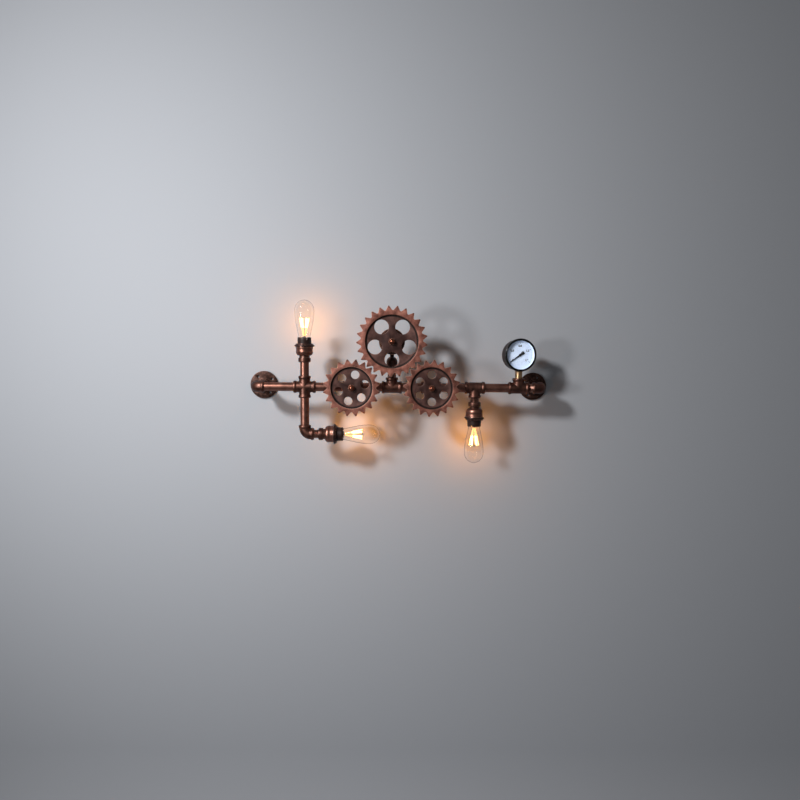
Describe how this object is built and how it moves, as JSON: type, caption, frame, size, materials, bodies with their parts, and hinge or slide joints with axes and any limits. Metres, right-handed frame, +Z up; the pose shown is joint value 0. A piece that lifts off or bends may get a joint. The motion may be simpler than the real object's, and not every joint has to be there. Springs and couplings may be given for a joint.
{
  "type": "gear wall lamp",
  "caption": "Wall lamp of pipe fittings on round flanges, carrying meshed turning gears, filament bulbs in open lampholders and a round dial gauge.",
  "frame": {"origin": "centre of the left flange's back face, on the wall", "axes": "+X along the main pipe to the right flange, +Y into the wall, +Z up"},
  "size_m": [0.7715, 0.1522, 0.3965],
  "materials": {
    "aged_copper_pipe": "antique copper, dark with rubbed edges",
    "dark_bronze_iron": "dark bronze on cast iron",
    "gear_copper": "matt red copper, darker web",
    "holder_copper": "antique copper, dark with rubbed edges",
    "nut_copper": "polished copper",
    "bright_steel": "turned",
    "holder_black": "moulded, satin",
    "bare_brass": "turned",
    "white_ceramic": "glazed",
    "clear_glass": "clear, blown",
    "lit_filament": "glowing warm white",
    "gauge_copper": "antique copper",
    "gauge_black": "gloss black",
    "dial_white": "matt white with a plain scale",
    "lead_sleeve": "fabric sleeve"
  },
  "bodies": {
    "pipe_frame": {"left_wall_elbow": "aged_copper_pipe", "right_wall_elbow": "aged_copper_pipe", "lower_elbow": "aged_copper_pipe", "pipe_nipples": "aged_copper_pipe", "left_pipe": "aged_copper_pipe", "cross_pipe": "aged_copper_pipe", "left_gear_pipe": "aged_copper_pipe", "right_gear_pipe": "aged_copper_pipe", "lamp_pipe": "aged_copper_pipe", "gauge_pipe": "aged_copper_pipe", "upper_pipe": "aged_copper_pipe", "drop_pipe": "aged_copper_pipe", "pipe_cross": "aged_copper_pipe", "left_gear_tee": "aged_copper_pipe", "middle_tee": "aged_copper_pipe", "right_gear_tee": "aged_copper_pipe", "lamp_tee": "aged_copper_pipe", "gauge_tee": "aged_copper_pipe", "left_flange": "dark_bronze_iron", "right_flange": "dark_bronze_iron", "gear_tee_plugs": "dark_bronze_iron", "riser_cap": "dark_bronze_iron", "riser_rod": "dark_bronze_iron", "gear_boss": "dark_bronze_iron", "gear_washers": "dark_bronze_iron", "holder_adapters": "holder_copper", "upper_cup": "holder_copper", "lower_cup": "holder_copper", "hanging_cup": "holder_copper", "shade_rings": "holder_copper", "gear_nuts": "nut_copper", "gear_studs": "bright_steel", "upper_holder_shell": "holder_black", "lower_holder_shell": "holder_black", "hanging_holder_shell": "holder_black", "screw_shells": "bare_brass", "gauge_stem": "bare_brass", "gauge_movement": "bare_brass", "gauge_bourdon_tube": "bare_brass", "contact_bases": "white_ceramic", "gauge_window": "clear_glass", "gauge_case": "gauge_copper", "gauge_bezel": "gauge_black", "gauge_dial": "dial_white", "lamp_leads": "lead_sleeve"},
    "big_gear": {"big_gear": "gear_copper"},
    "left_gear": {"left_gear": "gear_copper"},
    "right_gear": {"right_gear": "gear_copper"},
    "upper_bulb": {"upper_bulb_glass": "clear_glass", "upper_bulb_cap": "bare_brass", "upper_bulb_filament": "lit_filament"},
    "lower_bulb": {"lower_bulb_glass": "clear_glass", "lower_bulb_cap": "bare_brass", "lower_bulb_filament": "lit_filament"},
    "hanging_bulb": {"hanging_bulb_glass": "clear_glass", "hanging_bulb_cap": "bare_brass", "hanging_bulb_filament": "lit_filament"},
    "gauge_pointer": {"gauge_pointer": "gauge_black"},
    "gauge_sector": {"gauge_sector": "bare_brass"}
  },
  "joints": [
    {"name": "big_gear_spin", "type": "hinge", "parent": "pipe_frame", "child": "big_gear", "pos_m": [0.3335, -0.1, 0.11047], "axis": [0, -1, 0], "continuous": true},
    {"name": "left_gear_spin", "type": "hinge", "parent": "pipe_frame", "child": "left_gear", "pos_m": [0.238, -0.1, 0], "axis": [0, -1, 0], "continuous": true},
    {"name": "right_gear_spin", "type": "hinge", "parent": "pipe_frame", "child": "right_gear", "pos_m": [0.429, -0.1, 0], "axis": [0, -1, 0], "continuous": true},
    {"name": "upper_bulb_unscrew", "type": "slide", "parent": "pipe_frame", "child": "upper_bulb", "axis": [0, 0, 1], "range_m": [0, 0.022]},
    {"name": "lower_bulb_unscrew", "type": "slide", "parent": "pipe_frame", "child": "lower_bulb", "axis": [1, 0, 0], "range_m": [0, 0.022]},
    {"name": "hanging_bulb_unscrew", "type": "slide", "parent": "pipe_frame", "child": "hanging_bulb", "axis": [0, 0, -1], "range_m": [0, 0.022]},
    {"name": "pointer_turn", "type": "hinge", "parent": "pipe_frame", "child": "gauge_pointer", "pos_m": [0.6435, -0.1, 0.081], "axis": [-0.1736, 0.9848, 0], "range_deg": [0, 250], "stiffness_Nm_per_rad": 0.002},
    {"name": "sector_swing", "type": "hinge", "parent": "pipe_frame", "child": "gauge_sector", "pos_m": [0.6435, -0.1, 0.099], "axis": [-0.1736, 0.9848, 0], "range_deg": [-50, 0]}
  ],
  "couplings": [
    {"joint": "left_gear_spin", "follows": "big_gear_spin", "ratio": -1.25},
    {"joint": "right_gear_spin", "follows": "big_gear_spin", "ratio": -1.25},
    {"joint": "sector_swing", "follows": "pointer_turn", "ratio": -0.2}
  ]
}
